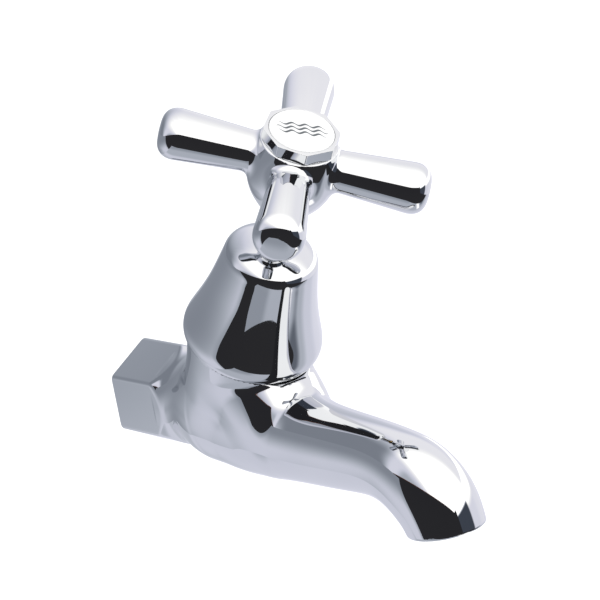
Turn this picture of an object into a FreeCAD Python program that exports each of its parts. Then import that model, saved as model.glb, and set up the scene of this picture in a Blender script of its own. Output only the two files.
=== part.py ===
import FreeCAD, Part
import os
from math import sin, cos, radians, pi, sqrt

# Wall-mounted cross handle tap, millimetres, +Z up.
# Origin: centre of the female inlet's end face. +Y runs along the inlet towards the wall,
# the spout reaches forward along -Y. The spindle axis crosses the inlet axis AXIS_Y in
# front of the wall face and leans forward by LEAN degrees over the spout.

V = FreeCAD.Vector

# ---------------------------------------------------------------- driving dimensions
AXIS_Y = -40.4          # crossing point of spindle axis and inlet axis
LEAN = 34.0             # forward lean of the spindle axis from the vertical
HANDLE_S = 89.0         # height of the arm plane along the spindle axis
THREAD_PITCH = 3.0      # rise of the spindle per turn; 1.75 turns lift it 5.25 mm
TURNS = 1.75

HEX_AF = 27.0           # inlet hexagon across flats, a corner straight up
HEX_CORNER_END = 19.3   # length of the corner edges
HEX_CHAMFER = 2.8
HEX_NECK_R = 13.4
INLET_THREAD_R = 9.35   # wall of the G1/2 female thread at its minor diameter
INLET_THREAD_L = 15.0
INLET_PORT_R = 7.0

NECK_PROFILE = [(0.0, 15.1), (8.0, 15.1), (13.0, 15.75), (19.0, 16.75), (25.5, 18.1)]
COLLAR_R = 15.6
COLLAR_TOP = 31.0
CHAMBER_R = 10.25
PARTITION = (9.5, 13.0)

# spout centre line and outside radius: (y, z, r) from the axis crossing point
SPOUT = [(0.0, 0.0, 15.05), (-7.0, -2.0, 14.95), (-21.0, -4.1, 14.0), (-32.5, -5.8, 12.2),
         (-44.6, -6.7, 11.15), (-54.4, -7.0, 10.6), (-63.7, -7.5, 10.25), (-70.8, -8.7, 10.45),
         (-76.8, -10.8, 10.95), (-81.2, -13.8, 11.15), (-84.6, -18.0, 10.95), (-86.6, -23.6, 10.5)]
OUTLET_ANGLE = 86.0     # outlet axis below the horizontal
# front wall of the barrel, from under the bell cover down to the crease where the spout starts
THROAT = [(-9.5, 14.0, 14.6), (-19.3, 1.0, 14.95), (-21.2, -1.8, 14.5), (-22.6, -4.2, 13.5)]
SPOUT_WALL = 2.3
OUTLET_MOUTH_R = 8.6
OUTLET_MOUTH_L = 5.0
OUTLET_BORE_R = 7.4
OUTLET_BORE_L = 9.5
PASSAGE = ((-18.0, 10.0), (-29.5, -5.2), 4.4)

# bell cover outside profile: (height from the arm plane, radius)
BELL = [(-28.55, 6.0), (-28.75, 6.7), (-29.05, 7.6), (-29.45, 8.6), (-29.9, 9.5), (-30.6, 10.7), (-31.4, 11.75), (-32.1, 12.38),
        (-32.8, 12.76), (-33.6, 12.98), (-36.0, 13.38), (-38.0, 13.72), (-41.0, 14.25), (-45.0, 15.03), (-49.0, 16.0), (-53.0, 17.17),
        (-56.5, 18.32), (-58.2, 18.87), (-59.6, 19.25), (-61.0, 19.38), (-62.2, 19.2), (-63.0, 18.85)]
BELL_INNER = [(-57.0, 16.4), (-54.0, 15.9), (-50.0, 14.6), (-46.0, 13.45), (-42.0, 12.5), (-38.0, 11.75), (-34.8, 11.15),
              (-33.2, 10.4), (-31.8, 9.1), (-31.0, 7.7), (-30.65, 6.4)]
BELL_COLLAR = [(-22.2, 5.6), (-22.5, 5.9), (-28.4, 5.95)]
BELL_HOLE_R = 4.6

SPINDLE_R = 4.0
SPINDLE_THREAD_R = 5.5
RUN = 0.05              # radial running clearance
BONNET_THREAD_R = 10.2
BONNET_AF = 24.0
THREAD_TOP = 39.0       # top of the spindle's thread when shut
LIFT_END = THREAD_TOP + THREAD_PITCH * TURNS + 0.25

ARM_TIP = 36.45         # arm tip from the spindle axis
ARM_R0, ARM_R1, ARM_EDGE = 5.2, 7.05, 3.1
HUB = [(6.9, 10.35), (4.0, 11.05), (0.0, 11.7), (-3.0, 11.95), (-6.0, 11.75), (-8.0, 11.15), (-10.0, 10.25), (-12.0, 9.0), (-14.0, 7.6), (-16.0, 6.3), (-18.0, 5.85), (-20.2, 5.8)]
CAP_CORNER_R = 10.42
CAP_TURN = 14.5
CAP_Z = (6.9, 10.28)
DISC_R = 8.8
DISC_TOP = 10.9

# ---------------------------------------------------------------- helpers
HEAD = FreeCAD.Placement(V(0, AXIS_Y, 0), FreeCAD.Rotation(V(1, 0, 0), LEAN))
BODY = FreeCAD.Placement(V(0, AXIS_Y, 0), FreeCAD.Rotation())


def head(shape):
    """from spindle-axis coordinates into the part's frame"""
    s = shape.copy()
    s.Placement = HEAD.multiply(s.Placement)
    return s


def cyl(r, z0, z1):
    return Part.makeCylinder(r, z1 - z0, V(0, 0, z0))


def tube(r0, r1, z0, z1):
    return cyl(r1, z0, z1).cut(cyl(r0, z0 - 1, z1 + 1))


def revolve(points, axis=V(0, 0, 1), spline=None):
    """solid of revolution of a closed (radius, height) outline about Z; spline = (first, last) index of a smooth run"""
    pts = [V(r, 0, z) for r, z in points]
    edges = []
    i = 0
    n = len(pts)
    while i < n:
        if spline and i == spline[0]:
            b = Part.BSplineCurve()
            b.interpolate(pts[spline[0]:spline[1] + 1])
            edges.append(b.toShape())
            i = spline[1]
            continue
        a, c = pts[i], pts[(i + 1) % n]
        if (a - c).Length > 1e-6:
            edges.append(Part.makeLine(a, c))
        i += 1
    face = Part.Face(Part.Wire(edges))
    return face.revolve(V(0, 0, 0), V(0, 0, 1), 360)


def prism(n, corner_r, z0, z1, turn=0.0):
    pts = [V(corner_r * cos(radians(turn + 360.0 * k / n)), corner_r * sin(radians(turn + 360.0 * k / n)), z0) for k in range(n)]
    return Part.Face(Part.makePolygon(pts + [pts[0]])).extrude(V(0, 0, z1 - z0))


def nut(af, z0, z1, hole, bevel=0.6, turn=0.0):
    rc = af / 2 / cos(pi / 6)
    p = prism(6, rc, z0, z1, turn)
    lim = revolve([(0, z0), (af / 2, z0), (rc + 0.05, z0 + bevel), (rc + 0.05, z1 - bevel), (af / 2, z1), (0, z1)])
    p = p.common(lim)
    return p.cut(cyl(hole, z0 - 1, z1 + 1)) if hole else p


def along_y(shape):
    """turn a Z-axis shape so that its +Z points along +Y"""
    s = shape.copy()
    s.rotate(V(0, 0, 0), V(1, 0, 0), -90)
    return s


def fillet(shape, pick, radii):
    edges = [e for e in shape.Edges if pick(e)]
    for r in radii:
        try:
            f = shape.makeFillet(r, edges)
            if f.isValid() and f.Volume > 0 and len(f.Solids) == 1:
                print("fillet", r, "on", len(edges))
                return f
        except Exception:
            pass
    print("no fillet on", len(edges))
    return shape


def section(y, z, r, ty, tz):
    return Part.Wire([Part.makeCircle(r, V(0, y, z), V(0, ty, tz))])


def spout_sections(wall=0.0, first=0, line=SPOUT):
    out = []
    for i, (y, z, r) in enumerate(line):
        a = line[max(i - 1, 0)]
        b = line[min(i + 1, len(line) - 1)]
        ty, tz = b[0] - a[0], b[1] - a[1]
        if line is SPOUT and i == len(line) - 1:
            ty, tz = -cos(radians(OUTLET_ANGLE)), -sin(radians(OUTLET_ANGLE))
        n = sqrt(ty * ty + tz * tz)
        if i >= first:
            out.append(section(y, z, r - wall, ty / n, tz / n))
    return out


parts = {}

# ---------------------------------------------------------------- body casting
# neck barrel round the spindle axis, flaring up to the flange under the bell cover
neck_pts = [(0, 0)] + [(r, s) for s, r in NECK_PROFILE] + [(0, NECK_PROFILE[-1][0])]
neck = revolve(neck_pts, spline=(1, len(NECK_PROFILE)))
barrel = head(neck)
barrel = barrel.fuse(Part.makeSphere(15.1, V(0, AXIS_Y, 0)))
spout = Part.makeLoft(spout_sections(), True, False)
spout.Placement = BODY
throat = Part.makeLoft(spout_sections(0.0, 0, THROAT), True, False)
throat.Placement = BODY
# inlet hexagon with its front corners turned off, and the round neck behind it
rc = HEX_AF / 2 / cos(pi / 6)
hexagon = prism(6, rc, -HEX_CORNER_END - HEX_CHAMFER - 0.3, 0, 30.0)
lim = revolve([(0, -HEX_CORNER_END - HEX_CHAMFER - 0.3), (HEX_NECK_R, -HEX_CORNER_END - HEX_CHAMFER - 0.3), (HEX_AF / 2, -HEX_CORNER_END - HEX_CHAMFER),
               (rc + 0.02, -HEX_CORNER_END), (rc + 0.02, -0.5), (rc - 0.55, 0), (0, 0)])
hexagon = along_y(hexagon.common(lim))
hex_neck = along_y(cyl(HEX_NECK_R, -36.0, -HEX_CORNER_END))
body = barrel.fuse([spout, throat, hexagon, hex_neck]).removeSplitter()


def neck_root(e):
    return e.BoundBox.YMin > -33 and e.BoundBox.YMax < -20.5 and e.BoundBox.XLength > 20 and e.Length > 50


body = fillet(body, neck_root, (2.0, 1.5, 1.0, 0.6))
# level seat for the bell cover and its seal, then the collar it screws on to
body = body.cut(head(tube(COLLAR_R - 2.0, 19.8, NECK_PROFILE[-1][0], 45.0)))
collar = head(cyl(COLLAR_R, NECK_PROFILE[-1][0] - 1.0, COLLAR_TOP))
body = body.fuse(collar)
# waterways: threaded socket, port, seat throat, valve chamber, passage and spout bore
cuts = [
    along_y(cyl(INLET_THREAD_R, -INLET_THREAD_L, 0)),
    along_y(cyl(INLET_PORT_R, AXIS_Y - 3.0, -INLET_THREAD_L)),
    along_y(revolve([(0, -INLET_THREAD_L - 1.6), (INLET_PORT_R, -INLET_THREAD_L - 1.6), (INLET_THREAD_R, -INLET_THREAD_L), (0, -INLET_THREAD_L)])),
    head(cyl(4.6, -1.0, PARTITION[0])),
    head(cyl(5.2, PARTITION[0] - 0.01, PARTITION[1])),
    head(cyl(CHAMBER_R, PARTITION[1], COLLAR_TOP + 1)),
]
(p1y, p1z), (p2y, p2z), pr = PASSAGE
d = V(0, p2y - p1y, p2z - p1z)
cuts.append(Part.makeCylinder(pr, d.Length, V(0, AXIS_Y + p1y, p1z), d))
cuts.append(Part.makeSphere(pr + 0.6, V(0, AXIS_Y + p2y, p2z)))
wet = [section(-30.0, -5.2, 5.2, -0.99, -0.1)] + spout_sections(SPOUT_WALL, 4)
bore = Part.makeLoft(wet, True, False)
bore.Placement = BODY
cuts.append(bore)
oa = radians(OUTLET_ANGLE)
oy, oz, orad = SPOUT[-1]
out_dir = V(0, -cos(oa), -sin(oa))
out_c = V(0, AXIS_Y + oy, oz)
cuts.append(Part.makeCylinder(OUTLET_BORE_R, OUTLET_BORE_L + 2, out_c - out_dir * OUTLET_BORE_L, out_dir))
cuts.append(Part.makeCylinder(OUTLET_MOUTH_R, OUTLET_MOUTH_L + 2, out_c - out_dir * OUTLET_MOUTH_L, out_dir))
for c in cuts:
    body = body.cut(c)
body = body.removeSplitter()
parts["body_casting"] = body

# screwed-in valve seat
seat = revolve([(4.0, 9.6), (5.15, 9.6), (5.15, 13.0), (7.0, 13.0), (7.0, 13.5), (5.6, 14.2), (4.6, 14.2), (4.0, 13.8)])
parts["valve_seat"] = head(seat)

# ribbed insert that straightens the stream, held inside the outlet
cells = cyl(OUTLET_BORE_R - 0.05, 0, 4.5)
hole_at = [(0.0, 0.0)]
for ring_n, ring_r, k in ((1, 2.6, 6), (2, 5.0, 12)):
    for j in range(k):
        a = 2 * pi * j / k + (pi / 12 if ring_n == 2 else 0)
        hole_at.append((ring_r * cos(a), ring_r * sin(a)))
for hx, hy in hole_at:
    cells = cells.cut(Part.makeCylinder(1.0, 8, V(hx, hy, -2)))
cells = cells.cut(tube(OUTLET_BORE_R - 0.82, OUTLET_BORE_R + 1, 1.6, 2.6))
rot = FreeCAD.Rotation(V(0, 0, 1), out_dir)
cells.Placement = FreeCAD.Placement(out_c - out_dir * OUTLET_BORE_L, rot)
parts["flow_straightener"] = cells
ring = Part.makeTorus(OUTLET_BORE_R - 0.42, 0.37, V(0, 0, 2.1))
ring.Placement = FreeCAD.Placement(out_c - out_dir * OUTLET_BORE_L, rot)
parts["straightener_seal"] = ring

# ---------------------------------------------------------------- headwork
bonnet = revolve([(8.9, 20.5), (BONNET_THREAD_R, 20.5), (BONNET_THREAD_R, 32.0), (11.9, 32.0), (11.9, 38.0), (8.6, 38.6), (8.0, 39.4), (8.0, 55.0),
                  (6.3, 55.0), (6.3, 46.0), (SPINDLE_R + RUN, 46.0), (SPINDLE_R + RUN, LIFT_END), (SPINDLE_THREAD_R + RUN, LIFT_END), (SPINDLE_THREAD_R + RUN, 26.8), (8.9, 26.0)])
bonnet = bonnet.fuse(nut(BONNET_AF, 32.0, 38.0, 11.0)).removeSplitter()
parts["bonnet"] = head(bonnet)
parts["bonnet_gasket"] = head(tube(10.3, 13.4, 31.0, 32.0))
parts["gland_packing"] = head(tube(SPINDLE_R + RUN, 6.25, 46.0, 50.0))
parts["packing_washer"] = head(tube(SPINDLE_R + 0.09, 6.25, 50.0, 51.0))
gland = tube(SPINDLE_R + RUN, 6.25, 51.0, 55.5).fuse(nut(13.0, 55.0, 57.8, SPINDLE_R + RUN)).removeSplitter()
parts["gland_nut"] = head(gland)

# bell cover: turned shell, screwed down on the collar of the body
top_prof = [(r, HANDLE_S + z) for z, r in BELL_COLLAR]
out_prof = [(r, HANDLE_S + z) for z, r in BELL]
in_prof = [(r, HANDLE_S + z) for z, r in BELL_INNER]
outer = revolve([(0, top_prof[0][1])] + top_prof + out_prof + [(0, out_prof[-1][1])], spline=(len(top_prof) + 1, len(top_prof) + len(out_prof)))
inner = revolve([(0, in_prof[-1][1])] + in_prof[::-1] + [(0, in_prof[0][1])], spline=(1, len(in_prof)))
bell = outer.cut(inner).cut(cyl(COLLAR_R + 0.05, 25.0, HANDLE_S - 57.0 + 0.01)).cut(cyl(BELL_HOLE_R, 55.0, 70.0))
parts["bell_cover"] = head(bell)
parts["bell_seal"] = head(tube(COLLAR_R + 0.05, 17.9, 25.5, 26.0))

# ---------------------------------------------------------------- jumper (lifts with the spindle, does not turn)
jumper = revolve([(0, 11.8), (1.5, 11.8), (1.5, 17.2), (8.4, 17.2), (8.4, 18.7), (7.9, 19.2), (2.0, 19.2), (2.0, 30.7), (1.7, 31.0), (0, 31.0)])
parts["jumper_valve"] = head(jumper)
parts["tap_washer"] = head(revolve([(1.5, 14.2), (7.9, 14.2), (8.2, 14.5), (8.2, 16.9), (7.9, 17.2), (1.5, 17.2)]))
parts["washer_nut"] = head(nut(6.0, 11.9, 14.2, 1.5, 0.4))

# ---------------------------------------------------------------- spindle and handle
spindle = revolve([(2.05, 19.3), (5.1, 19.3), (SPINDLE_THREAD_R, 19.8), (SPINDLE_THREAD_R, THREAD_TOP - 0.5), (5.1, THREAD_TOP), (SPINDLE_R, THREAD_TOP), (SPINDLE_R, 87.4), (3.6, 87.8),
                   (0, 87.8), (0, 33.5), (2.05, 32.3)])
spindle = spindle.cut(cyl(2.0, 77.0, 90.0))
# splines on the end that carries the handle
teeth = 20
for k in range(teeth):
    a = 360.0 * k / teeth
    g = prism(3, 0.55, 75.5, 89.0, 180.0)
    g.translate(V(SPINDLE_R + 0.08, 0, 0))
    g.rotate(V(0, 0, 0), V(0, 0, 1), a)
    spindle = spindle.cut(g)
parts["spindle"] = head(spindle)

hub_prof = [(r, HANDLE_S + z) for z, r in HUB]
hub = revolve([(0, hub_prof[0][1])] + hub_prof + [(0, hub_prof[-1][1])], spline=(1, len(hub_prof)))
arm = revolve([(0, 4.0), (ARM_R0 - 0.13, 4.0), (ARM_R1, ARM_TIP - ARM_EDGE), (ARM_R1 * 0.93, ARM_TIP - ARM_EDGE * 0.45), (ARM_R1 * 0.72, ARM_TIP - ARM_EDGE * 0.12), (0, ARM_TIP)],
              spline=(2, 5))
handle = hub
for k in range(4):
    a = arm.copy()
    a.rotate(V(0, 0, 0), V(0, 1, 0), 90)
    a.rotate(V(0, 0, 0), V(0, 0, 1), 45 + 90 * k)
    a.translate(V(0, 0, HANDLE_S))
    handle = handle.fuse(a)
handle = handle.removeSplitter()


def arm_root(e):
    b = e.BoundBox
    c = b.Center
    rad = sqrt(c.x ** 2 + c.y ** 2)
    return 7.0 < rad < 14.0 and b.ZLength > 4 and HANDLE_S - 9 < b.ZMin and b.ZMax < HANDLE_S + 6.9 and e.Length > 6


handle = fillet(handle, arm_root, (1.8, 1.5, 1.2, 1.0))
handle = handle.cut(cyl(4.3, HANDLE_S - 24, HANDLE_S))
handle = handle.cut(cyl(6.0, HANDLE_S - 14.0, HANDLE_S - 0.5))
handle = handle.cut(cyl(2.25, HANDLE_S - 2, HANDLE_S + 3))
handle = handle.cut(cyl(8.0, HANDLE_S + 1.5, HANDLE_S + 8))
parts["cross_handle"] = head(handle)

insert = tube(SPINDLE_R + 0.02, 5.98, HANDLE_S - 14.0, HANDLE_S - 0.5)
parts["spline_insert"] = head(insert)
parts["screw_washer"] = head(tube(2.15, 4.3, HANDLE_S + 1.5, HANDLE_S + 2.1))
screw = revolve([(0, 78.2), (1.5, 78.2), (1.96, 78.8), (1.96, HANDLE_S + 2.1), (3.7, HANDLE_S + 2.1), (3.7, HANDLE_S + 3.6), (2.9, HANDLE_S + 4.5), (0, HANDLE_S + 4.7)])
for a in (0, 90):
    slot = Part.makeBox(4.0, 0.8, 2.0, V(-2.0, -0.4, HANDLE_S + 3.2))
    slot.rotate(V(0, 0, 0), V(0, 0, 1), a)
    screw = screw.cut(slot)
parts["handle_screw"] = head(screw)

c0, c1 = HANDLE_S + CAP_Z[0], HANDLE_S + CAP_Z[1]
cap = prism(8, CAP_CORNER_R, c0, c1, CAP_TURN)
cap = cap.common(revolve([(0, c0), (CAP_CORNER_R - 0.35, c0), (CAP_CORNER_R + 0.05, c0 + 0.45), (CAP_CORNER_R + 0.05, c1 - 0.15), (CAP_CORNER_R - 0.1, c1), (0, c1)]))
cap = cap.fuse(revolve([(0, c0 - 3.6), (7.3, c0 - 3.6), (7.6, c0 - 3.2), (7.6, c0 - 2.6), (6.7, c0 - 2.6), (6.7, c0 - 1.2), (7.6, c0 - 1.2), (7.6, c0 + 0.1), (0, c0 + 0.1)]))
cap = cap.cut(cyl(6.0, c0 - 5, c0 + 0.6)).cut(cyl(DISC_R + 0.06, c0 + 2.1, c1 + 1))
parts["index_cap"] = head(cap)
parts["cap_o_ring"] = head(Part.makeTorus(7.35, 0.62, V(0, 0, c0 - 1.9)))
d0 = c0 + 2.1
dt = HANDLE_S + DISC_TOP
disc = revolve([(0, d0), (DISC_R, d0), (DISC_R, c1 - 0.25), (DISC_R - 0.25, c1 + 0.12), (7.4, c1 + 0.37), (4.4, dt - 0.1), (0, dt)], spline=(3, 6))
parts["index_disc"] = head(disc)

os.makedirs("parts", exist_ok=True)
for name, shape in parts.items():
    solids = shape.Solids
    if len(solids) == 1:
        shape = solids[0]
    shape.exportStep("parts/%s.step" % name)
    print("%-20s solids %d valid %s volume %.1f" % (name, len(solids), shape.isValid(), shape.Volume))
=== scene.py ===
import bpy
import numpy as np
from math import sin, cos, radians, pi, sqrt, exp
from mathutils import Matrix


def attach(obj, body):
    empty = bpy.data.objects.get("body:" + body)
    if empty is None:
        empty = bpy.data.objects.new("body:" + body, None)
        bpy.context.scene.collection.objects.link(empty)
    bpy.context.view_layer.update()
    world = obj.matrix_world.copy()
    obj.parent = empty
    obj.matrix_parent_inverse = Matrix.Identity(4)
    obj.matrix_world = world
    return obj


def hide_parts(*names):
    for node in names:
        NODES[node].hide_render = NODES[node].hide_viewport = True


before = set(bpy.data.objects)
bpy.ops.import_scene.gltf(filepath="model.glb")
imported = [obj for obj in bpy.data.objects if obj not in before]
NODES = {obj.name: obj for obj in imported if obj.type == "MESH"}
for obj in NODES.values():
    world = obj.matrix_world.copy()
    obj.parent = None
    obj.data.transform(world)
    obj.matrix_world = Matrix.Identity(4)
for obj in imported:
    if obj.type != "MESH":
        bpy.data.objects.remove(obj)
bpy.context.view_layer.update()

# Wall-mounted cross handle tap. Lengths below are millimetres in the part's own frame
# (+Y towards the wall, spout along -Y, +Z up); meshes are written in metres.
MM = 0.001

# ------------------------------------------------------------------ driving dimensions
AXIS_Y = -40.4
LEAN = radians(34.0)
HANDLE_S = 89.0
HEX_R = 13.5
NECK = [(0.0, 15.9), (6.0, 15.9), (12.0, 16.1), (19.0, 16.85), (25.5, 18.1)]
SPOUT = [(0.0, 0.0, 15.8), (-7.0, -2.0, 15.4), (-21.0, -4.1, 14.1), (-32.5, -5.8, 12.2),
         (-44.6, -6.7, 11.15), (-54.4, -7.0, 10.6), (-63.7, -7.5, 10.25), (-70.8, -8.7, 10.45),
         (-76.8, -10.8, 10.95), (-81.2, -13.8, 11.15), (-84.6, -18.0, 10.95), (-86.6, -23.6, 10.5)]
WALL = [(-9.5, 14.0, 14.6), (-19.3, 1.0, 14.95), (-21.2, -1.8, 14.5), (-22.6, -4.2, 13.5)]
OUTLET_ANGLE = radians(86.0)
BELL = [(-28.55, 6.0), (-28.75, 6.7), (-29.05, 7.6), (-29.45, 8.6), (-29.9, 9.5), (-30.6, 10.7), (-31.4, 11.75), (-32.1, 12.38),
        (-32.8, 12.76), (-33.6, 12.98), (-34.5, 13.13), (-36.0, 13.38), (-38.0, 13.72), (-41.0, 14.25), (-45.0, 15.03),
        (-49.0, 16.0), (-53.0, 17.17), (-56.5, 18.32), (-58.2, 18.87), (-59.6, 19.25), (-61.0, 19.38),
        (-62.2, 19.2), (-63.0, 18.85)]
BELL_INNER = [(-57.0, 16.4), (-54.0, 15.9), (-50.0, 14.6), (-46.0, 13.45), (-42.0, 12.5), (-38.0, 11.75),
              (-34.8, 11.15), (-33.2, 10.4), (-31.8, 9.1), (-31.0, 7.7), (-30.65, 6.4)]
HUB = [(6.9, 10.35), (4.0, 11.05), (0.0, 11.7), (-3.0, 11.95), (-6.0, 11.75), (-8.0, 11.15), (-10.0, 10.25),
       (-12.0, 9.0), (-14.0, 7.6), (-16.0, 6.3), (-18.0, 5.85), (-20.2, 5.8)]
ARM_TIP = 36.45
ARM_R0, ARM_R1 = 5.07, 7.05
CAP_CORNER_R = 10.42
CAP_TURN = radians(14.5)
CAP_Z = (6.9, 10.28)
DISC_R = 8.8

H = np.array([0.0, -sin(LEAN), cos(LEAN)])
F = np.array([0.0, cos(LEAN), sin(LEAN)])
O = np.array([0.0, AXIS_Y, 0.0])
HM = np.stack([np.array([1.0, 0.0, 0.0]), F, H])      # rows: head x, y, z
K45 = cos(pi / 4)
AM = np.stack([np.array([K45, K45, 0.0]), np.array([-K45, K45, 0.0]), np.array([0.0, 0.0, 1.0])]) @ HM  # arm axes


# ------------------------------------------------------------------ curves and distance fields
class Curve:
    """natural cubic spline through rows of values"""
    def __init__(s, t, p):
        s.t = np.array(t, float)
        s.p = np.array(p, float)
        n = len(s.t)
        h = np.diff(s.t)
        a = np.zeros((n, n))
        b = np.zeros((n, s.p.shape[1]))
        a[0, 0] = a[-1, -1] = 1
        for i in range(1, n - 1):
            a[i, i - 1], a[i, i], a[i, i + 1] = h[i - 1], 2 * (h[i - 1] + h[i]), h[i]
            b[i] = 6 * ((s.p[i + 1] - s.p[i]) / h[i] - (s.p[i] - s.p[i - 1]) / h[i - 1])
        s.m = np.linalg.solve(a, b)
        s.h = h

    def __call__(s, t):
        t = np.clip(t, s.t[0], s.t[-1])
        i = np.clip(np.searchsorted(s.t, t, side="right") - 1, 0, len(s.h) - 1)
        h = s.h[i][..., None]
        a = (s.t[i + 1] - t)[..., None]
        b = (t - s.t[i])[..., None]
        m0, m1, p0, p1 = s.m[i], s.m[i + 1], s.p[i], s.p[i + 1]
        v = m0 * a ** 3 / (6 * h) + m1 * b ** 3 / (6 * h) + (p0 / h - m0 * h / 6) * a + (p1 / h - m1 * h / 6) * b
        d = -m0 * a ** 2 / (2 * h) + m1 * b ** 2 / (2 * h) - (p0 / h - m0 * h / 6) + (p1 / h - m1 * h / 6)
        return v, d


def profile(points):
    q = np.array(sorted(points), float)
    return Curve(q[:, 0], q[:, 1:2])


def unit(v):
    return v / np.maximum(np.linalg.norm(v, axis=-1, keepdims=True), 1e-12)


def smin(a, b, k):
    """smooth union of two fields, each (distance, gradient)"""
    h = np.clip(0.5 + 0.5 * (b[0] - a[0]) / k, 0, 1)
    return b[0] * (1 - h) + a[0] * h - k * h * (1 - h), b[1] * (1 - h)[:, None] + a[1] * h[:, None]


def neg(a):
    return -a[0], -a[1]


def smax(a, b, k):
    return neg(smin(neg(a), neg(b), k))


class Canal:
    """envelope of spheres whose centres run in the plane x = 0; rows (y, z, r)"""
    def __init__(s, pts, step=1.0):
        p = np.array(pts, float)
        t = np.concatenate([[0], np.cumsum(np.linalg.norm(np.diff(p[:, :2], axis=0), axis=1))])
        s.c = Curve(t, p)
        s.ts = np.linspace(0, t[-1], int(t[-1] / step) + 2)
        s.v = s.c(s.ts)[0]
        s.dt = s.ts[1] - s.ts[0]

    def __call__(s, P):
        best = np.full(len(P), 1e9)
        bt = np.zeros(len(P))
        xx = P[:, 0] ** 2
        for t, v in zip(s.ts, s.v):
            d = np.sqrt(xx + (P[:, 1] - v[0]) ** 2 + (P[:, 2] - v[1]) ** 2) - v[2]
            m = d < best
            best[m] = d[m]
            bt[m] = t
        lo = np.maximum(bt - s.dt, s.ts[0])
        hi = np.minimum(bt + s.dt, s.ts[-1])
        for _ in range(13):
            mid = (lo + hi) / 2
            v, dv = s.c(mid)
            q1, q2 = P[:, 1] - v[:, 0], P[:, 2] - v[:, 1]
            ln = np.maximum(np.sqrt(xx + q1 ** 2 + q2 ** 2), 1e-9)
            up = -(q1 * dv[:, 0] + q2 * dv[:, 1]) / ln - dv[:, 2] > 0
            hi = np.where(up, mid, hi)
            lo = np.where(up, lo, mid)
        v, dv = s.c((lo + hi) / 2)
        q = np.stack([P[:, 0], P[:, 1] - v[:, 0], P[:, 2] - v[:, 1]], 1)
        ln = np.maximum(np.linalg.norm(q, axis=1), 1e-9)
        return ln - v[:, 2], q / ln[:, None]


def revolved(Q, prof):
    r = np.hypot(Q[:, 0], Q[:, 1])
    v, d = prof(Q[:, 2])
    d = np.where((Q[:, 2] < prof.t[0]) | (Q[:, 2] > prof.t[-1]), 0, d[:, 0])
    c = 1 / np.sqrt(1 + d * d)
    rr = np.maximum(r, 1e-9)
    return (r - v[:, 0]) * c, np.stack([Q[:, 0] / rr * c, Q[:, 1] / rr * c, -d * c], 1)


def const(P, n):
    return np.broadcast_to(np.array(n, float), P.shape)


def rod(P, a, d, r):
    """infinite cylinder through a along the unit vector d"""
    w = P - np.array(a, float)
    d = np.array(d, float)
    q = w - (w @ d)[:, None] * d
    ln = np.maximum(np.linalg.norm(q, axis=1), 1e-9)
    return ln - r, q / ln[:, None]


def half(P, c, n):
    n = np.array(n, float)
    return (P - np.array(c, float)) @ n, np.broadcast_to(n, P.shape)


def ball(P, c, r):
    q = P - np.array(c, float)
    ln = np.maximum(np.linalg.norm(q, axis=1), 1e-9)
    return ln - r, q / ln[:, None]


def stub(P, a, d, r, t0, t1, k=0.2):
    """cylinder of finite length from a + t0 d to a + t1 d"""
    d = np.array(d, float)
    a = np.array(a, float)
    f = rod(P, a, d, r)
    if t1 is not None:
        f = smax(f, half(P, a + d * t1, d), k)
    if t0 is not None:
        f = smax(f, half(P, a + d * t0, -d), k)
    return f


spout_canal = Canal([(y + AXIS_Y, z, r) for y, z, r in SPOUT])
wall_canal = Canal([(y + AXIS_Y, z, r) for y, z, r in WALL])
bore_canal = Canal([(-30.0 + AXIS_Y, -5.2, 5.2)] + [(y + AXIS_Y, z, r - 2.3) for y, z, r in SPOUT[4:]])
neck_prof = profile(NECK)
hub_prof = profile(HUB)
OUT_C = np.array([0.0, AXIS_Y + SPOUT[-1][0], SPOUT[-1][1]])
OUT_D = np.array([0.0, -cos(OUTLET_ANGLE), -sin(OUTLET_ANGLE)])
YAX = np.array([0.0, 1.0, 0.0])


def hexagon(P):
    """inlet hexagon about the Y axis, a corner straight up, front corners turned off"""
    best = None
    for k in range(6):
        a = radians(60 * k)
        n = np.array([cos(a), 0, sin(a)])
        pl = (P @ n - HEX_R, np.broadcast_to(n, P.shape))
        best = pl if best is None else smax(best, pl, 0.8)
    rr = np.hypot(P[:, 0], P[:, 2])
    er = np.stack([P[:, 0], 0 * rr, P[:, 2]], 1) / np.maximum(rr, 1e-9)[:, None]
    sl = (15.6 - HEX_R) / 3.6
    c = 1 / sqrt(1 + sl * sl)
    best = smax(best, ((rr - HEX_R - (P[:, 1] + 23.0) * sl) * c, er * c + np.array([0, -sl * c, 0])), 0.5)
    best = smax(best, ((rr - 15.05) * 0.667 + P[:, 1] * 0.745, er * 0.667 + np.array([0, 0.745, 0])), 0.3)
    return smax(best, (P[:, 1] * 1.0, const(P, YAX)), 0.5)


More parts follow.
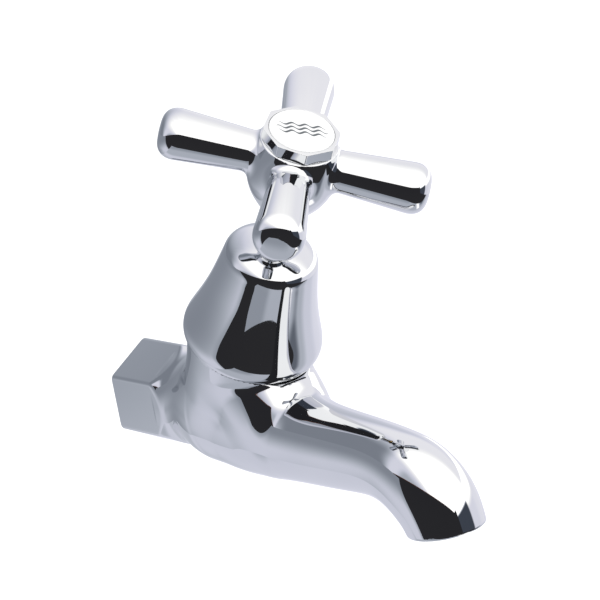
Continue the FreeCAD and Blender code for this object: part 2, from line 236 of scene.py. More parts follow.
def outside(P):
    """outer skin of the body casting"""
    f = spout_canal(P)
    f = smax(f, half(P, OUT_C, OUT_D), 0.9)
    f = smin(f, wall_canal(P), 1.3)
    Q = (P - O) @ HM.T
    nk = revolved(Q, neck_prof)
    nk = (nk[0], nk[1] @ HM)
    low = Q[:, 2] < 0                                # the barrel's foot is a ball of the same radius
    foot = ball(P, O, NECK[0][1])
    nk = (np.where(low, foot[0], nk[0]), np.where(low[:, None], foot[1], nk[1]))
    nk = smax(nk, (Q[:, 2] - 25.5, const(P, H)), 0.5)
    f = smin(f, nk, 2.0)
    f = smin(f, stub(P, (0, 0, 0), YAX, 13.4, -36.0, -20.0, 0.5), 4.5)
    f = smin(f, hexagon(P), 1.0)
    # level seat for the cover and its seal, then the collar that the cover screws on to
    rh = np.hypot(Q[:, 0], Q[:, 1])
    er = (np.stack([Q[:, 0], Q[:, 1], 0 * rh], 1) / np.maximum(rh, 1e-9)[:, None]) @ HM
    f = smax(f, smin((Q[:, 2] - 25.5, const(P, H)), (19.8 - rh, -er), 0.01), 0.4)
    return smin(f, stub(P, O, H, 15.6, 20.0, 31.0, 0.5), 0.3)


def waterways(P):
    f = stub(P, (0, 0, 0), YAX, 7.0, -43.4, None)
    f = smin(f, stub(P, O, H, 4.6, -1.0, 9.6), 0.2)
    f = smin(f, stub(P, O, H, 5.2, 9.4, 13.2), 0.2)
    f = smin(f, stub(P, O, H, 10.25, 13.0, None), 0.2)
    a = O + np.array([0, -18.0, 10.0])
    b = O + np.array([0, -29.5, -5.2])
    f = smin(f, stub(P, a, unit(b - a), 4.4, 0.0, 19.5), 0.3)
    f = smin(f, ball(P, b, 5.0), 0.6)
    f = smin(f, bore_canal(P), 0.6)
    f = smin(f, stub(P, OUT_C, OUT_D, 7.4, -9.5, None), 0.3)
    return smin(f, stub(P, OUT_C, OUT_D, 8.6, -5.0, None), 0.1)


def casting(P):
    return smax(outside(P), neg(waterways(P)), 0.6)


def handle(Q):
    """cross handle in arm axes: x and y along the arms, z up the spindle from the arm plane"""
    f = revolved(Q, hub_prof)
    f = smax(f, (Q[:, 2] - 6.9, const(Q, (0, 0, 1))), 0.35)
    f = smax(f, (-20.2 - Q[:, 2], const(Q, (0, 0, -1))), 0.6)
    sl = (ARM_R1 - ARM_R0) / (ARM_TIP - 3.1 - 4.0)
    c = 1 / sqrt(1 + sl * sl)
    arms = None
    for ax in np.array([[1.0, 0, 0], [-1, 0, 0], [0, 1, 0], [0, -1, 0]]):
        x = Q @ ax
        w = Q - x[:, None] * ax
        rr = np.maximum(np.linalg.norm(w, axis=1), 1e-9)
        a = ((rr - ARM_R0 - (x - 4.0) * sl) * c, w / rr[:, None] * c - ax * sl * c)
        a = smax(a, ball(Q, ax * (ARM_TIP - 26.0), 26.0), 4.4)
        a = smax(a, (-x, const(Q, -ax)), 0.5)
        arms = a if arms is None else smin(arms, a, 0.01)
    f = smin(f, arms, 2.1)
    Z = (0, 0, 1.0)
    v = stub(Q, (0, 0, 0), Z, 8.0, 1.5, None)
    v = smin(v, stub(Q, (0, 0, 0), Z, 2.25, -3.0, 3.0), 0.1)
    v = smin(v, stub(Q, (0, 0, 0), Z, 6.0, -14.0, -0.5), 0.1)
    v = smin(v, stub(Q, (0, 0, 0), Z, 4.3, None, -1.0), 0.1)
    return smax(f, neg(v), 0.5)


# ------------------------------------------------------------------ meshing
def chunked(field, P, n=120000):
    f = np.empty(len(P))
    g = np.empty((len(P), 3))
    for i in range(0, len(P), n):
        f[i:i + n], g[i:i + n] = field(P[i:i + n])
    return f, g


def project(field, V, cell, times=4):
    for _ in range(times):
        f, g = chunked(field, V)
        gg = np.maximum((g * g).sum(1), 0.05)
        V = V - g * np.clip(f / gg, -cell, cell)[:, None]
    return V


def nets(field, lo, hi, cell, relax=3):
    """surface nets over a narrow band, pulled on to the field; returns vertices, quads and unit normals"""
    lo = np.array(lo, float)
    hi = np.array(hi, float)
    B = 4
    nb = np.ceil((hi - lo) / (B * cell)).astype(int)
    lo = hi - nb * B * cell
    ctr = lo + (np.indices(nb).reshape(3, -1).T + 0.5) * B * cell
    f0, _ = chunked(field, ctr)
    live = (np.abs(f0) < B * cell * 0.5 * sqrt(3) * 1.35 + 0.3).reshape(nb)
    cells = live.repeat(B, 0).repeat(B, 1).repeat(B, 2)
    N = np.array(cells.shape)
    nodes = np.zeros(N + 1, bool)
    for dx in (0, 1):
        for dy in (0, 1):
            for dz in (0, 1):
                nodes[dx:dx + N[0], dy:dy + N[1], dz:dz + N[2]] |= cells
    val = np.full(N + 1, 1.0)
    ii = np.argwhere(nodes)
    val[nodes] = chunked(field, lo + ii * cell)[0]
    ins = val < 0
    cnt = np.zeros(N, int)
    for dx in (0, 1):
        for dy in (0, 1):
            for dz in (0, 1):
                cnt += ins[dx:dx + N[0], dy:dy + N[1], dz:dz + N[2]]
    act = cells & (cnt > 0) & (cnt < 8)
    ca = np.argwhere(act)
    idx = np.full(N, -1)
    idx[act] = np.arange(len(ca))
    acc = np.zeros((len(ca), 3))
    num = np.zeros(len(ca))
    for ax in range(3):
        o1, o2 = [a for a in range(3) if a != ax]
        for d1 in (0, 1):
            for d2 in (0, 1):
                a = ca.copy()
                a[:, o1] += d1
                a[:, o2] += d2
                b = a.copy()
                b[:, ax] += 1
                va = val[a[:, 0], a[:, 1], a[:, 2]]
                vb = val[b[:, 0], b[:, 1], b[:, 2]]
                m = (va < 0) != (vb < 0)
                t = np.where(m, va / np.where(m, va - vb, 1.0), 0)
                p = a.astype(float)
                p[:, ax] += t
                acc[m] += p[m]
                num[m] += 1
    V = lo + acc / num[:, None] * cell
    quads = []
    for ax in range(3):
        o1, o2 = (ax + 1) % 3, (ax + 2) % 3
        sl_a = [slice(None)] * 3
        sl_b = [slice(None)] * 3
        sl_a[ax] = slice(0, -1)
        sl_b[ax] = slice(1, None)
        A = ins[tuple(sl_a)]
        Bm = ins[tuple(sl_b)]
        e = np.argwhere(A != Bm)
        ok = (e[:, o1] > 0) & (e[:, o2] > 0) & (e[:, o1] < N[o1]) & (e[:, o2] < N[o2])
        e = e[ok]
        flip = A[e[:, 0], e[:, 1], e[:, 2]]
        q = []
        for s1, s2 in ((0, 0), (-1, 0), (-1, -1), (0, -1)):
            k = e.copy()
            k[:, o1] += s1
            k[:, o2] += s2
            q.append(idx[k[:, 0], k[:, 1], k[:, 2]])
        q = np.stack(q, 1)
        ok = (q >= 0).all(1)
        q, flip = q[ok], flip[ok]
        q = np.where(flip[:, None], q, q[:, ::-1])
        quads.append(q)
    quads = np.concatenate(quads)
    # outward orientation: with "flip" the inside is at the lower node, so the normal points along +axis
    V = project(field, V, cell, 3)
    ed = np.sort(np.concatenate([quads[:, [0, 1]], quads[:, [1, 2]], quads[:, [2, 3]], quads[:, [3, 0]]]), 1)
    key, c = np.unique(ed[:, 0] * len(V) + ed[:, 1], return_counts=True)
    rim = np.zeros(len(V), bool)
    b = key[c == 1]
    rim[b // len(V)] = True
    rim[b % len(V)] = True
    ea, eb = key // len(V), key % len(V)
    deg = np.maximum(np.bincount(ea, minlength=len(V)) + np.bincount(eb, minlength=len(V)), 1)
    for _ in range(relax):
        s = np.zeros_like(V)
        for j in range(3):
            s[:, j] = np.bincount(ea, V[eb, j], len(V)) + np.bincount(eb, V[ea, j], len(V))
        m = s / deg[:, None] - V
        m[rim] = 0
        V = project(field, V + 0.6 * m, cell, 1)
    V = project(field, V, cell, 2)
    n = unit(chunked(field, V)[1])
    # drop vertices that no quad uses
    used = np.zeros(len(V), bool)
    used[quads.ravel()] = True
    new = np.cumsum(used) - 1
    return V[used], new[quads], n[used], rim[used]


def newell(V, faces):
    """area-weighted vertex normals"""
    n = np.zeros_like(V)
    for size in (3, 4):
        fs = np.array([f for f in faces if len(f) == size], int)
        if len(fs) == 0:
            continue
        p = V[fs]
        c = np.cross(p[:, 1] - p[:, 0], p[:, 2] - p[:, 0]) if size == 3 else np.cross(p[:, 2] - p[:, 0], p[:, 3] - p[:, 1])
        for k in range(size):
            for j in range(3):
                n[:, j] += np.bincount(fs[:, k], c[:, j], len(V))
    return unit(n)


def piece(name, V, faces, normals, body, nodes, mat, uv=None):
    """mesh object from millimetre vertices, with its own vertex normals"""
    me = bpy.data.meshes.new(name)
    me.from_pydata((np.asarray(V) * MM).tolist(), [], [list(map(int, f)) for f in faces])
    me.update()
    me.polygons.foreach_set("use_smooth", np.ones(len(me.polygons), bool))
    if uv is not None:
        layer = me.uv_layers.new(name="plan")
        vi = np.empty(len(me.loops), int)
        me.loops.foreach_get("vertex_index", vi)
        layer.data.foreach_set("uv", np.asarray(uv)[vi].ravel())
    me.normals_split_custom_set_from_vertices(np.asarray(normals).tolist())
    ob = bpy.data.objects.new(name, me)
    bpy.context.scene.collection.objects.link(ob)
    me.materials.append(mat)
    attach(ob, body)
    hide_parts(*nodes)
    return ob


def rings(loops, closed=True):
    """quads between successive equal-length rings; vertex order ring by ring"""
    n = len(loops[0])
    V = np.concatenate(loops)
    m = len(loops)
    i = np.arange(m if closed else m - 1)[:, None]
    j = np.arange(n)[None, :]
    a = i * n + j
    b = i * n + (j + 1) % n
    i2 = (i + 1) % m
    c = i2 * n + (j + 1) % n
    d = i2 * n + j
    return V, np.stack([a, b, c, d], -1).reshape(-1, 4)


def head_to_row(Q, dz=HANDLE_S):
    return O + (np.asarray(Q) + np.array([0, 0, dz])) @ HM


def zip_loops(la, ta, lb, tb):
    """triangles between two loops of indices sorted by angle"""
    na, nb_ = len(la), len(lb)
    ta = np.concatenate([ta, [ta[0] + 2 * pi]])
    tb = np.concatenate([tb, [tb[0] + 2 * pi]])
    i = j = 0
    out = []
    while i < na or j < nb_:
        if j >= nb_ or (i < na and ta[i + 1] <= tb[j + 1]):
            out.append((la[i % na], la[(i + 1) % na], lb[j % nb_]))
            i += 1
        else:
            out.append((la[i % na], lb[(j + 1) % nb_], lb[j % nb_]))
            j += 1
    return out


def turned(points, n, theta=None, r_of=None):
    """turned solid about the spindle axis, profile (r, z) from the outside bottom over the top to the inside"""
    th = np.linspace(0, 2 * pi, n, endpoint=False) if theta is None else theta
    p = np.array(points, float)
    d = np.roll(p, -1, 0) - p
    ln = np.maximum(np.linalg.norm(d, axis=1), 1e-9)
    d = d / ln[:, None]
    lb, la = np.roll(ln, 1), ln
    t = unit(np.roll(d, 1, 0) * la[:, None] + d * lb[:, None])
    m = np.stack([t[:, 1], -t[:, 0]], 1)
    loops, norm = [], []
    for (r, z), q in zip(p, m):
        loops.append(np.stack([r * np.cos(th), r * np.sin(th), np.full_like(th, z)], 1))
        norm.append(np.stack([q[0] * np.cos(th), q[0] * np.sin(th), np.full_like(th, q[1])], 1))
    V, quads = rings(loops, True)
    return V, quads, np.concatenate(norm)


def soften(points, radius=0.15, steps=4):
    """rounds the corners of a closed profile polyline"""
    p = np.array(points, float)
    out = []
    n = len(p)
    for i in range(n):
        a, b, c = p[i - 1], p[i], p[(i + 1) % n]
        u1, u2 = a - b, c - b
        l1, l2 = np.linalg.norm(u1), np.linalg.norm(u2)
        turn = pi - np.arccos(np.clip(u1 @ u2 / (l1 * l2), -1, 1))
        if turn < radians(12):
            out.append(b)
            continue
        k = min(radius, 0.45 * l1, 0.45 * l2)
        s, e = b + u1 / l1 * k, b + u2 / l2 * k
        for j in range(steps + 1):
            t = j / steps
            out.append((1 - t) ** 2 * s + 2 * t * (1 - t) * b + t * t * e)
    return np.array(out)


def closed_disc(points, n, theta=None):
    """profile that starts and ends on the axis: turned skin with a fan at each end; z of the poles is that of the end points"""
    th = np.linspace(0, 2 * pi, n, endpoint=False) if theta is None else theta
    p = np.array(points, float)
    body = p[1:-1]
    loops = [np.stack([r * np.cos(th), r * np.sin(th), np.full_like(th, z)], 1) for r, z in body]
    V, quads = rings(loops, False)
    m = len(th)
    a, b = len(V), len(V) + 1
    V = np.vstack([V, [[0, 0, p[0, 1]], [0, 0, p[-1, 1]]]])
    j = np.arange(m)
    last = (len(body) - 1) * m
    fan = [(a, (k + 1) % m, k) for k in j] + [(b, last + k, last + (k + 1) % m) for k in j]
    return V, [tuple(q) for q in quads] + fan


# ------------------------------------------------------------------ materials
def tree(name):
    mat = bpy.data.materials.new(name)
    mat.use_nodes = True
    nt = mat.node_tree
    bsdf = [n for n in nt.nodes if n.type == "BSDF_PRINCIPLED"][0]
    return mat, nt, bsdf


def node(nt, kind, **values):
    n = nt.nodes.new(kind)
    for k, v in values.items():
        if hasattr(n, k) and not k.startswith("in_"):
            setattr(n, k, v)
    return n


def noise(nt, co, scale, detail=3.0, rough=0.5, distortion=0.0):
    n = nt.nodes.new("ShaderNodeTexNoise")
    n.inputs["Scale"].default_value = scale
    n.inputs["Detail"].default_value = detail
    n.inputs["Roughness"].default_value = rough
    n.inputs["Distortion"].default_value = distortion
    nt.links.new(co, n.inputs["Vector"])
    return n.outputs["Fac"]


def ramp(nt, fac, stops):
    r = nt.nodes.new("ShaderNodeValToRGB")
    el = r.color_ramp.elements
    while len(el) < len(stops):
        el.new(0.5)
    for e, (pos, col) in zip(el, stops):
        e.position = pos
        e.color = (*col, 1.0) if hasattr(col, "__len__") else (col, col, col, 1.0)
    nt.links.new(fac, r.inputs["Fac"])
    return r.outputs["Color"]


def span(nt, fac, a, b, lo=0.0, hi=1.0):
    m = nt.nodes.new("ShaderNodeMapRange")
    m.inputs["From Min"].default_value = lo
    m.inputs["From Max"].default_value = hi
    m.inputs["To Min"].default_value = a
    m.inputs["To Max"].default_value = b
    nt.links.new(fac, m.inputs["Value"])
    return m.outputs["Result"]


def coords(nt, scale=(1, 1, 1), rot=(0, 0, 0)):
    t = nt.nodes.new("ShaderNodeTexCoord")
    m = nt.nodes.new("ShaderNodeMapping")
    m.inputs["Scale"].default_value = scale
    m.inputs["Rotation"].default_value = rot
    nt.links.new(t.outputs["Object"], m.inputs["Vector"])
    return m.outputs["Vector"]


def bump(nt, bsdf, height, strength, distance, under=None):
    b = nt.nodes.new("ShaderNodeBump")
    b.inputs["Strength"].default_value = strength
    b.inputs["Distance"].default_value = distance
    nt.links.new(height, b.inputs["Height"])
    if under is not None:
        nt.links.new(under, b.inputs["Normal"])
    nt.links.new(b.outputs["Normal"], bsdf.inputs["Normal"])
    return b.outputs["Normal"]


def chrome(name, tint=(0.700, 0.715, 0.735), light=(0.735, 0.745, 0.760), rough=(0.012, 0.035), wave=0.06):
    mat, nt, b = tree(name)
    co = coords(nt)
    b.inputs["Metallic"].default_value = 1.0
    big = noise(nt, co, 38.0, 2.0, 0.45)
    fine = noise(nt, co, 900.0, 4.0, 0.6)
    nt.links.new(ramp(nt, big, [(0.3, tint), (0.7, light)]), b.inputs["Base Color"])
    nt.links.new(span(nt, fine, rough[0], rough[1], 0.3, 0.75), b.inputs["Roughness"])
    n1 = bump(nt, b, big, wave, 0.0004)
    bump(nt, b, fine, 0.02, 0.00002, n1)
    return mat


def metal(name, c0, c1, rough, lines, scale=350.0, pull=(1, 1, 14)):
    """turned or pulled metal with fine directional lines"""
    mat, nt, b = tree(name)
    b.inputs["Metallic"].default_value = 1.0
    base = coords(nt)
    fine = coords(nt, pull, (-LEAN, 0, 0))
    cloud = noise(nt, base, 120.0, 4.0, 0.6)
    line = noise(nt, fine, scale, 5.0, 0.65)
    nt.links.new(ramp(nt, cloud, [(0.3, c0), (0.7, c1)]), b.inputs["Base Color"])
    nt.links.new(span(nt, line, rough[0], rough[1], 0.25, 0.75), b.inputs["Roughness"])
    bump(nt, b, line, lines, 0.00004)
    return mat


def dull(name, c0, c1, rough, grain, depth, scale=600.0, pull=(1, 1, 1), spec=0.4):
    """moulded or pressed material with a fine surface grain"""
    mat, nt, b = tree(name)
    base = coords(nt)
    g = coords(nt, pull)
    cloud = noise(nt, base, 160.0, 4.0, 0.55)
    fine = noise(nt, g, scale, 5.0, 0.6)
    nt.links.new(ramp(nt, cloud, [(0.3, c0), (0.7, c1)]), b.inputs["Base Color"])
    nt.links.new(span(nt, fine, rough[0], rough[1], 0.3, 0.7), b.inputs["Roughness"])
    b.inputs["Specular IOR Level"].default_value = spec
    bump(nt, b, fine, grain, depth)
    return mat


def calc(nt, op, a, b=None, clamp=False):
    m = nt.nodes.new("ShaderNodeMath")
    m.operation = op
    m.use_clamp = clamp
    for i, x in enumerate((a, b)):
        if x is None:
            continue
        if isinstance(x, (int, float)):
            m.inputs[i].default_value = x
        else:
            nt.links.new(x, m.inputs[i])
    return m.outputs["Value"]


def porcelain(name):
    """white glaze; three plain water lines are fired into it, in millimetres on the disc's own plane"""
    mat, nt, b = tree(name)
    uv = nt.nodes.new("ShaderNodeUVMap")
    uv.uv_map = "plan"
    sep = nt.nodes.new("ShaderNodeSeparateXYZ")
    nt.links.new(uv.outputs["UV"], sep.inputs["Vector"])
    co = coords(nt)
    x = calc(nt, "ADD", calc(nt, "MULTIPLY", sep.outputs["X"], 0.797), calc(nt, "MULTIPLY", sep.outputs["Y"], -0.603))
    y = calc(nt, "ADD", calc(nt, "MULTIPLY", sep.outputs["X"], 0.603), calc(nt, "MULTIPLY", sep.outputs["Y"], 0.797))
    ink = None
    for row, half_len, ph in ((1.6, 6.5, 0.0), (0.0, 7.1, 0.0), (-1.6, 6.5, 0.0)):
        phase = calc(nt, "ADD", calc(nt, "MULTIPLY", x, 1.75), ph)
        crest = calc(nt, "ADD", calc(nt, "MULTIPLY", calc(nt, "SINE", phase), 0.44), row)
        # the stroke swells on the rising side of each wave and thins towards the ends
        off = calc(nt, "ABSOLUTE", calc(nt, "SUBTRACT", y, crest))
        reach = calc(nt, "DIVIDE", calc(nt, "ABSOLUTE", x), half_len)
        swell = calc(nt, "ADD", calc(nt, "MULTIPLY", calc(nt, "COSINE", phase), 0.13), 0.38)
        width = calc(nt, "MULTIPLY", calc(nt, "SUBTRACT", 1.0, calc(nt, "POWER", reach, 7.0)), swell)
        edge = calc(nt, "DIVIDE", calc(nt, "SUBTRACT", width, off), 0.10, True)
        inside = calc(nt, "LESS_THAN", reach, 1.0)
        one = calc(nt, "MULTIPLY", edge, inside)
        ink = one if ink is None else calc(nt, "MAXIMUM", ink, one)
    cloud = noise(nt, co, 90.0, 3.0, 0.5)
    glaze = ramp(nt, cloud, [(0.3, (0.80, 0.805, 0.81)), (0.7, (0.85, 0.852, 0.85))])
    speck = noise(nt, co, 2600.0, 2.0, 0.7)
    inkc = ramp(nt, speck, [(0.35, (0.045, 0.055, 0.065)), (0.7, (0.085, 0.10, 0.115))])
    mix = nt.nodes.new("ShaderNodeMix")
    mix.data_type = "RGBA"
    nt.links.new(ink, mix.inputs[0])
    nt.links.new(glaze, mix.inputs[6])
    nt.links.new(inkc, mix.inputs[7])
    nt.links.new(mix.outputs[2], b.inputs["Base Color"])
    nt.links.new(span(nt, speck, 0.10, 0.20, 0.3, 0.7), b.inputs["Roughness"])
    b.inputs["Coat Weight"].default_value = 0.6
    b.inputs["Coat Roughness"].default_value = 0.05
    bump(nt, b, cloud, 0.05, 0.0001)
    return mat


CHROME_BODY = chrome("chrome_cast", wave=0.05)
CHROME_COVER = chrome("chrome_turned", wave=0.02)
CHROME_HANDLE = chrome("chrome_handle", wave=0.04)
CHROME_CAP = chrome("chrome_cap", wave=0.01)
BRASS = metal("brass_turned", (0.56, 0.38, 0.16), (0.66, 0.47, 0.22), (0.16, 0.34), 0.35)
STEEL = metal("steel_zinc", (0.42, 0.43, 0.45), (0.55, 0.56, 0.57), (0.22, 0.40), 0.3)
RUBBER = dull("rubber_moulded", (0.012, 0.012, 0.013), (0.030, 0.030, 0.032), (0.45, 0.65), 0.3, 0.00004)
FIBRE = dull("fibre_pressed", (0.22, 0.035, 0.022), (0.33, 0.06, 0.035), (0.6, 0.85), 0.5, 0.00006, 900.0)
PACKING = dull("packing_braid", (0.62, 0.60, 0.54), (0.78, 0.77, 0.72), (0.7, 0.9), 0.8, 0.00012, 1400.0, (1, 1, 3))
OUTLET = dull("plastic_outlet", (0.55, 0.56, 0.57), (0.66, 0.67, 0.68), (0.3, 0.5), 0.25, 0.00003)
INSERT = dull("plastic_insert", (0.015, 0.015, 0.017), (0.03, 0.03, 0.032), (0.35, 0.5), 0.25, 0.00003)
PORCELAIN = porcelain("glazed_porcelain")

for names, mat in ((("valve_seat", "bonnet", "packing_washer", "gland_nut", "jumper_valve", "washer_nut", "spindle"), BRASS),
                   (("screw_washer", "handle_screw"), STEEL),
                   (("bell_seal", "straightener_seal", "tap_washer", "cap_o_ring"), RUBBER),
                   (("bonnet_gasket",), FIBRE), (("gland_packing",), PACKING),
                   (("flow_straightener",), OUTLET), (("spline_insert",), INSERT)):
    for nm in names:
        me = NODES[nm].data
        me.materials.clear()
        me.materials.append(mat)
        me.polygons.foreach_set("material_index", np.zeros(len(me.polygons), int))

# ------------------------------------------------------------------ body casting
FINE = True
V, quads, N, rim = nets(casting, (-21, -140, -32), (21, -24.0, 42), 0.55 if FINE else 1.0)

offs = [0.0]
for o in (0.3, 0.6, 1.0, 1.5, 2.2, 3.2, 4.6, 6.5):
    offs += [o, -o]
theta = []
for k in range(6):
    c = 30.0 + 60.0 * k
    theta += [c + o for o in offs]
    theta += list(c + 6.5 + np.arange(1, 14) * (47.0 / 14))
theta = np.radians(np.sort(np.mod(theta, 360.0)))
TN = len(theta)
er = np.stack([np.cos(theta), 0 * theta, np.sin(theta)], 1)
phi = np.mod(theta + pi / 6, pi / 3) - pi / 6
reach = np.minimum(HEX_R / np.cos(phi), 15.2)


def cast_rays(p, d, far=9.0):
    """distance along each ray, from inside the metal, to the outer skin"""
    lo = np.zeros(len(p))
    hi = np.full(len(p), far)
    for _ in range(26):
        mid = (lo + hi) / 2
        inside = outside(p + d * mid[:, None])[0] < 0
        lo = np.where(inside, mid, lo)
        hi = np.where(inside, hi, mid)
    return p + d * ((lo + hi) / 2)[:, None]


bore = [(7.0, -23.75), (7.0, -20.0), (7.0, -16.75), (7.15, -16.55), (9.2, -15.4)]
loops = [np.stack([r * np.cos(theta), np.full(TN, y), r * np.sin(theta)], 1) for r, y in bore]
for y in np.arange(-15.2, -1.75, 0.2):
    w = 0.5 + 0.5 * np.clip(1.5 * np.cos(2 * pi * y / 1.814 + theta), -1, 1)
    fade = min(1.0, (15.2 + y) / 1.2, (-1.6 - y) / 0.8 + 0.25)
    r = 9.42 + 1.0 * w * max(fade, 0.0)
    loops.append(np.stack([r * np.cos(theta), np.full(TN, y), r * np.sin(theta)], 1))
for r, y in ((9.75, -1.45), (10.25, -0.75), (10.72, -0.12), (10.80, -0.03)):
    loops.append(np.stack([r * np.cos(theta), np.full(TN, y), r * np.sin(theta)], 1))
n_bore = len(loops)
for t in np.linspace(0, 1, 5):
    r = 10.9 + (reach - 1.2 - 10.9) * t
    loops.append(cast_rays(er * r[:, None] + np.array([0, -4.0, 0]), np.broadcast_to(YAX, er.shape)))
for a in np.radians(np.linspace(0, 90, 13)[1:]):
    loops.append(cast_rays(er * (reach - 1.2)[:, None] + np.array([0, -1.2, 0]), cos(a) * YAX + sin(a) * er))
for y in list(np.linspace(-1.2, -17.0, 18)[1:]) + list(np.linspace(-17.0, -23.75, 34)[1:]):
    loops.append(cast_rays(er * 9.0 + np.array([0, y, 0]), er))
HV, hq = rings(loops, False)
hn = newell(HV, [tuple(q) for q in hq])
out_rows = np.arange(len(HV)) >= n_bore * TN
hn[out_rows] = unit(chunked(outside, HV[out_rows])[1])

base = len(V)
radius = np.hypot(V[:, 0], V[:, 2])
ang = np.mod(np.arctan2(V[:, 2], V[:, 0]), 2 * pi)
at_back = rim & (V[:, 1] > -25.5)
extra = []
for sel, first, outer in ((at_back & (radius > 10), len(loops) - 1, True), (at_back & (radius < 8.5), 0, False)):
    ids = np.where(sel)[0]
    ids = ids[np.argsort(ang[ids])]
    mine = base + first * TN + np.arange(TN)
    tri = zip_loops(list(mine), theta, list(ids), ang[ids])
    extra += tri if outer else [(a, c, b) for a, b, c in tri]
faces = [tuple(q) for q in quads] + [tuple(q + base) for q in hq] + extra
piece("body_casting_skin", np.vstack([V, HV]), faces, np.vstack([N, hn]), "root", ["body_casting"], CHROME_BODY)

# ------------------------------------------------------------------ cross handle
V, quads, N, rim = nets(handle, (-38, -38, -21.5), (38, 38, 8), 0.45 if FINE else 0.8)
piece("cross_handle_skin", O + (V + np.array([0, 0, HANDLE_S])) @ AM, quads, N @ AM, "handle", ["cross_handle"], CHROME_HANDLE)

# ------------------------------------------------------------------ bell cover
bp = Curve(np.concatenate([[0], np.cumsum(np.hypot(*np.diff(np.array(BELL), axis=0).T))]), np.array(BELL))
arc = np.unique(np.concatenate([np.arange(0, 12.0, 0.12), np.arange(12.0, bp.t[-1], 0.3), [bp.t[-1]]]))
outer = [(r, z) for z, r in bp(arc)[0][::-1]]
ip = Curve(np.concatenate([[0], np.cumsum(np.hypot(*np.diff(np.array(BELL_INNER), axis=0).T))]), np.array(BELL_INNER))
inner = [(r, z) for z, r in ip(np.linspace(0, ip.t[-1], 70))[0][::-1]]
top = [(5.98, -28.5), (5.95, -28.35), (5.92, -27.5), (5.91, -25.5), (5.9, -23.2), (5.9, -22.6), (5.85, -22.4), (5.72, -22.25), (5.6, -22.2), (4.8, -22.2), (4.66, -22.22),
       (4.6, -22.3), (4.6, -25.0), (4.6, -28.0), (4.6, -30.55), (4.66, -30.65)]
foot = [(15.65, -57.0), (15.65, -60.0), (15.65, -62.85), (15.8, -63.0), (17.2, -63.0), (18.45, -63.0), (18.68, -62.97)]
top = [(5.02, -22.62), (4.9, -22.6), (4.66, -22.62), (4.6, -22.7), (4.6, -25.0), (4.6, -27.3), (4.66, -27.4)]
V, quads, N = turned(outer + top + inner + foot, 200)
piece("bell_cover_shell", head_to_row(V), quads, N @ HM, "root", ["bell_cover"], CHROME_COVER)

# ------------------------------------------------------------------ index cap and disc
APOTHEM = CAP_CORNER_R * cos(pi / 8)
th = []
for k in range(8):
    c = np.degrees(CAP_TURN) + 45.0 * k
    th += [c + o for o in (0, 0.25, -0.25, 0.6, -0.6, 1.1, -1.1, 1.9, -1.9, 3.2, -3.2, 5.2, -5.2)]
    th += list(c + 5.2 + np.arange(1, 10) * (34.6 / 10))
th = np.radians(np.sort(np.mod(th, 360.0)))
ph = np.mod(th - CAP_TURN, pi / 4) - pi / 8          # angle from the middle of the flat
octagon = APOTHEM / np.cos(ph)
octagon = np.minimum(octagon, CAP_CORNER_R - 0.05 + 0.0 * th)


def soft_low(a, b, k=0.08):
    h = np.clip(0.5 + 0.5 * (b - a) / k, 0, 1)
    return b * (1 - h) + a * h - k * h * (1 - h)


c0, c1 = CAP_Z
lim = CAP_CORNER_R + 0.05
ring_z = [(z, lim - 0.40 + (z - c0) * (0.40 / 0.45)) for z in (c0, c0 + 0.12, c0 + 0.25, c0 + 0.38, c0 + 0.46)]
ring_z += [(z, lim) for z in np.linspace(c0 + 0.6, c1 - 0.3, 9)]
ring_z += [(z, lim - max(0.0, z - c1 + 0.15)) for z in (c1 - 0.2, c1 - 0.15, c1 - 0.10)]
cs, sn = np.cos(th), np.sin(th)


def ring_of(r, z):
    return np.stack([r * cs, r * sn, np.full_like(th, z)], 1)


chain = []
for r, z in ((0.6, c0 + 0.6), (5.6, c0 + 0.6), (5.95, c0 + 0.58), (6.0, c0 + 0.5), (6.0, c0 - 1.6), (6.0, c0 - 3.5), (6.05, c0 - 3.6), (7.2, c0 - 3.6),
             (7.35, c0 - 3.56), (7.58, c0 - 3.25), (7.6, c0 - 3.1), (7.6, c0 - 2.65), (7.55, c0 - 2.6), (6.75, c0 - 2.6), (6.7, c0 - 2.55),
             (6.7, c0 - 1.25), (6.75, c0 - 1.2), (7.55, c0 - 1.2), (7.6, c0 - 1.15), (7.6, c0 - 0.05), (7.66, c0), (9.0, c0)):
    chain.append(ring_of(r, z))
for i, (z, cone) in enumerate(ring_z):
    chain.append(ring_of(soft_low(octagon, cone + 0.0 * th) - (0.03 if i == 0 else 0.0), z))
topr = soft_low(octagon, lim - 0.15 + 0.0 * th)
chain.append(ring_of(topr + 0.02, c1 - 0.05))
chain.append(ring_of(topr - 0.02, c1 - 0.012))
chain.append(ring_of(topr - 0.07, c1))
for r, z in ((DISC_R + 0.16, c1), (DISC_R + 0.10, c1 - 0.02), (DISC_R + 0.06, c1 - 0.08), (DISC_R + 0.06, c1 - 0.6), (DISC_R + 0.06, c0 + 2.2), (DISC_R, c0 + 2.1),
             (6.0, c0 + 2.1), (0.6, c0 + 2.1)):
    chain.append(ring_of(r, z))
V, quads = rings(chain, False)
m = len(th)
last = (len(chain) - 1) * m
V = np.vstack([V, [[0, 0, c0 + 0.6], [0, 0, c0 + 2.1]]])
faces = [tuple(q) for q in quads]
faces += [(len(V) - 2, (k + 1) % m, k) for k in range(m)] + [(len(V) - 1, last + k, last + (k + 1) % m) for k in range(m)]
piece("index_cap_octagon", head_to_row(V), faces, newell(V, faces) @ HM, "handle", ["index_cap"], CHROME_CAP)

